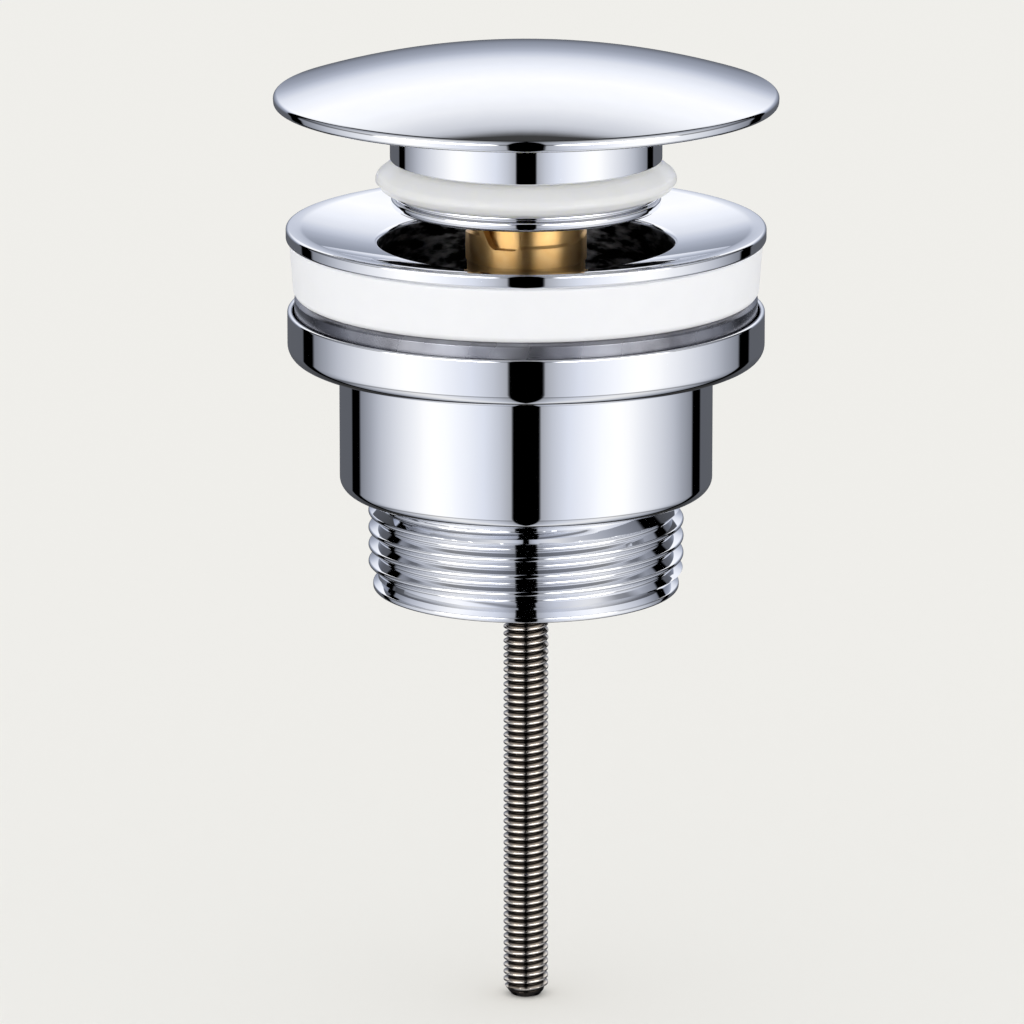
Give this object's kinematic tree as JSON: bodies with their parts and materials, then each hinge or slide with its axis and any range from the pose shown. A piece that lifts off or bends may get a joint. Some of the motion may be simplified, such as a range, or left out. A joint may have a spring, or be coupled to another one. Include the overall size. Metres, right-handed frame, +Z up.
{
  "type": "pop up basin waste",
  "caption": "Chromed basin drain: sprung domed plug over a dished flange, with gasket, seat ring and a cup-shaped lower body with threaded tail, drawn up by a long central screw.",
  "frame": {"origin": "centre of the seat under the rim of the top flange, where it bears on the basin", "axes": "+Z up out of the drain along the common axis of plug, flange, lower body and screw; -Y is the side that the picture shows"},
  "size_m": [0.0666, 0.0666, 0.1287],
  "materials": {
    "polished_chrome": "polished chrome plate on brass",
    "clear_silicone": "translucent moulded silicone",
    "brass": "turned and milled brass",
    "spring_steel": "drawn stainless steel",
    "fibre": "pressed fibre",
    "black_rubber": "moulded rubber",
    "nickel_steel": "rolled thread, nickel plated steel",
    "white_rubber": "moulded white rubber, smooth",
    "satin_steel": "satin turned steel"
  },
  "bodies": {
    "flange": {"top_flange": "polished_chrome", "guide_core": "brass", "hub_washer": "fibre", "spring_seat": "spring_steel", "return_spring": "spring_steel", "upper_oring": "black_rubber", "lower_oring": "black_rubber", "thrust_washer": "brass"},
    "plug": {"plug_cap": "polished_chrome", "plug_boss": "polished_chrome", "plug_seal": "clear_silicone", "seal_retainer": "polished_chrome", "plunger": "brass", "follower_circlip": "spring_steel"},
    "follower": {"follower_ring": "brass", "follower_pins": "spring_steel"},
    "screw": {"clamp_screw": "nickel_steel"},
    "under_body": {"lower_body": "polished_chrome", "basin_gasket": "white_rubber", "seat_ring": "satin_steel"}
  },
  "joints": [
    {"name": "plug_slide", "type": "slide", "parent": "flange", "child": "plug", "axis": [0, 0, 1], "range_m": [-0.0078, 0], "stiffness_N_per_m": 400, "springref_m": 0.0125, "deforming": ["return_spring"]},
    {"name": "follower_turn", "type": "hinge", "parent": "plug", "child": "follower", "pos_m": [0, 0, 0.0095], "axis": [0, 0, 1], "range_deg": [0, 30.01]},
    {"name": "body_slide", "type": "slide", "parent": "flange", "child": "under_body", "axis": [0, 0, 1], "range_m": [-0.045, 0]},
    {"name": "screw_turn", "type": "hinge", "parent": "flange", "child": "screw", "pos_m": [0, 0, -0.012], "axis": [0, 0, 1], "range_deg": [0, 16201]}
  ],
  "couplings": [
    {"joint": "follower_turn", "follows": "plug_slide", "rad_per_m": -67.128},
    {"joint": "screw_turn", "follows": "body_slide", "rad_per_m": -6283.2}
  ]
}
